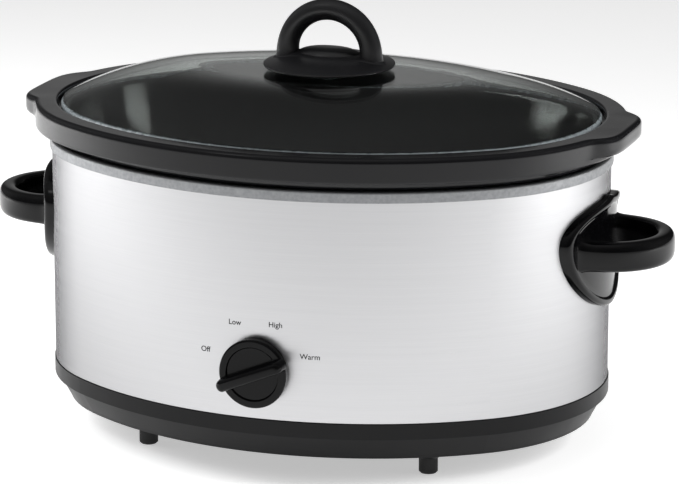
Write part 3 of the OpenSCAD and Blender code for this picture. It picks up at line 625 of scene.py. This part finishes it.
def handle_grids(mirror):
    """A side handle: a plate bent to the body's round end, with a raised edge, and a level bar
    bent into a half circle that stands out of it. The plate's outline is an oval with its
    widest line high up and a small crest on top."""
    turn = np.linspace(0, 2 * math.pi, 145)
    c, s = np.cos(turn), np.sin(turn)
    power = np.where(s >= 0, 0.82, 1.1)
    profile = np.array([(0, -0.2), (0, 2.5), (0.15, 4.2), (0.7, 5.1), (1.6, 5.5), (3.2, 5.5),
                        (4.1, 5.3), (4.8, 4.6), (5.3, 3.9), (6.3, PLATE_PROUD),
                        (9, PLATE_PROUD)])
    inset = profile[:, 0]
    y = (PLATE_HALF - inset) * (np.sign(c) * np.abs(c) ** power)[:, None]
    tall = np.where(s >= 0, PLATE_UP, PLATE_DOWN)[:, None] - inset
    z = PLATE_Z + tall * (np.sign(s) * np.abs(s) ** power)[:, None]
    z += 1.6 * (s >= 0)[:, None] * np.exp(-(y / 5) ** 2) * (1 - inset / 9)
    proud = np.broadcast_to(profile[:, 1], y.shape)
    share = np.linspace(0.85, 0, 7)
    y = np.concatenate([0 * y[:, :1], y, y[:, -1:] * share], 1)
    z = np.concatenate([0 * z[:, :1] + PLATE_MIDDLE, z,
                        PLATE_MIDDLE + (z[:, -1:] - PLATE_MIDDLE) * share], 1)
    flat = np.broadcast_to(PLATE_PROUD, (len(turn), len(share)))
    proud = np.concatenate([proud[:, :1], proud, flat], 1)
    bend = END_R + 0.3 + proud
    plate = np.dstack([END_X + np.sqrt(bend ** 2 - y ** 2), y, z])
    middle = LOOP_TIP - BAR_OUT - LOOP_R
    leg = np.linspace(0, 1, 10)[:-1]
    angle = np.concatenate([0 * leg - math.pi / 2, np.linspace(-math.pi / 2, math.pi / 2, 61),
                            0 * leg + math.pi / 2])
    root = math.sqrt((END_R + 1) ** 2 - LOOP_R ** 2) + END_X
    along = np.concatenate([root - middle + (middle - root) * leg, np.zeros(61),
                            (root - middle) * leg])
    zero = 0 * angle
    out = np.stack([np.cos(angle), np.sin(angle), zero], -1)
    centres = LOOP_R * out + np.stack([middle + along, zero, zero + GRIP_Z], -1)
    gone = centres[:, 0] - root
    swell = np.exp(-np.abs(gone) / 3.2)
    up = np.tile((0.0, 0.0, 1.0), (len(angle), 1))
    bar = swept(centres, out, up, BAR_OUT * (1 + 0.5 * swell), BAR_UP * (1 + 0.25 * swell),
                0.62, 48)
    flip = np.array([-1 if mirror else 1, 1, 1])
    return [plate * flip, bar * flip]


def control_knob():
    """The knob: a turned disc with a flat rim and a sunk face, and a long grip bar across it,
    whose outline is a straight-sided oval that draws in to a rounded crest."""
    disc = rounded([(0, 1.4), (18, 1.4), (18.2, 1.2), (20.6, 1.2), (21, 7.4), (16.4, 7.4),
                    (15.9, 6.5), (0, 6.5)], [0, 0, 0, 0.4, 1.5, 0.5, 0.3, 0], 8)
    wheel = spun(disc[:, 0], disc[:, 1], 120)
    n = 25
    turn = np.linspace(-math.pi / 2, math.pi / 2, n)
    half = 18.5
    draw = np.array([0, 0.1, 0.2, 0.35, 0.6, 1.0, 1.7, 2.5, 4.0])
    high = np.array([5.5, 8.0, 11.0, 13.6, 15.2, 16.2, 16.8, 16.97, 17.0])
    wide = 4.0 - draw
    end = half - 0.25 * draw
    x = np.concatenate([end + wide * np.cos(turn)[:, None], -end - wide * np.cos(turn)[:, None],
                        (end + wide * np.cos(turn[:1])[:, None])])
    y = np.concatenate([wide * np.sin(turn)[:, None], -wide * np.sin(turn)[:, None],
                        wide * np.sin(turn[:1])[:, None]])
    droop = 2.2 * np.clip((np.abs(x) - 12) / 10, 0, 1) ** 2 * (high > 9)
    bar = np.dstack([x, y, np.broadcast_to(high, x.shape) - droop])
    tilt = math.radians(KNOB_TILT)
    turned = np.array([[math.cos(tilt), math.sin(tilt), 0], [-math.sin(tilt), math.cos(tilt), 0],
                       [0, 0, 1]])
    stand = np.array([[1, 0, 0], [0, 0, 1], [0, -1, 0]])
    place = np.array([0, -HALF_W, KNOB_Z])
    piece("control_knob", "knob", ABS,
          [wheel @ stand + place, bar @ turned @ stand + place], ["knob"])


def dial_words():
    """The four settings, printed on the wrap round the knob: flat letters laid on the curve of
    the front, a hair proud of it."""
    for word, distance, angle in [("Off", 34.2, 163), ("Low", 31.7, 115), ("High", 31.6, 67.5),
                                  ("Warm", 34.6, 18.5)]:
        text = bpy.data.curves.new("print_" + word.lower(), "FONT")
        text.body = word
        text.align_x, text.align_y = "CENTER", "CENTER"
        text.size, text.offset, text.extrude = WORD_SIZE, WORD_BOLD, WORD_T
        holder = bpy.data.objects.new("draft", text)
        bpy.context.scene.collection.objects.link(holder)
        bpy.context.view_layer.update()
        seen = holder.evaluated_get(bpy.context.evaluated_depsgraph_get())
        mesh = bpy.data.meshes.new_from_object(seen)
        bpy.data.objects.remove(holder)
        flat = np.empty(len(mesh.vertices) * 3)
        mesh.vertices.foreach_get("co", flat)
        x, y, z = flat.reshape(-1, 3).T * 1000
        x = x + distance * math.cos(math.radians(angle))
        y = y + distance * math.sin(math.radians(angle)) + KNOB_Z
        depth = SIDE_Y - np.sqrt((SIDE_R + WORD_PROUD + z) ** 2 - x ** 2)
        mesh.vertices.foreach_set("co", (np.stack([x, depth, y], -1) / 1000).ravel())
        mesh.materials.clear()
        mesh.materials.append(INK)
        printed = bpy.data.objects.new("print_" + word.lower(), mesh)
        bpy.context.scene.collection.objects.link(printed)
        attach(printed, "body")


camera()
studio()
steel_wrap()
collar_and_well()
stoneware_crock()
lid_dome()
lid_grip()
piece("handle_right", "body", PHENOLIC, handle_grids(False), ["right_handle"])
piece("handle_left", "body", PHENOLIC, handle_grids(True), ["left_handle"])
control_knob()
dial_words()
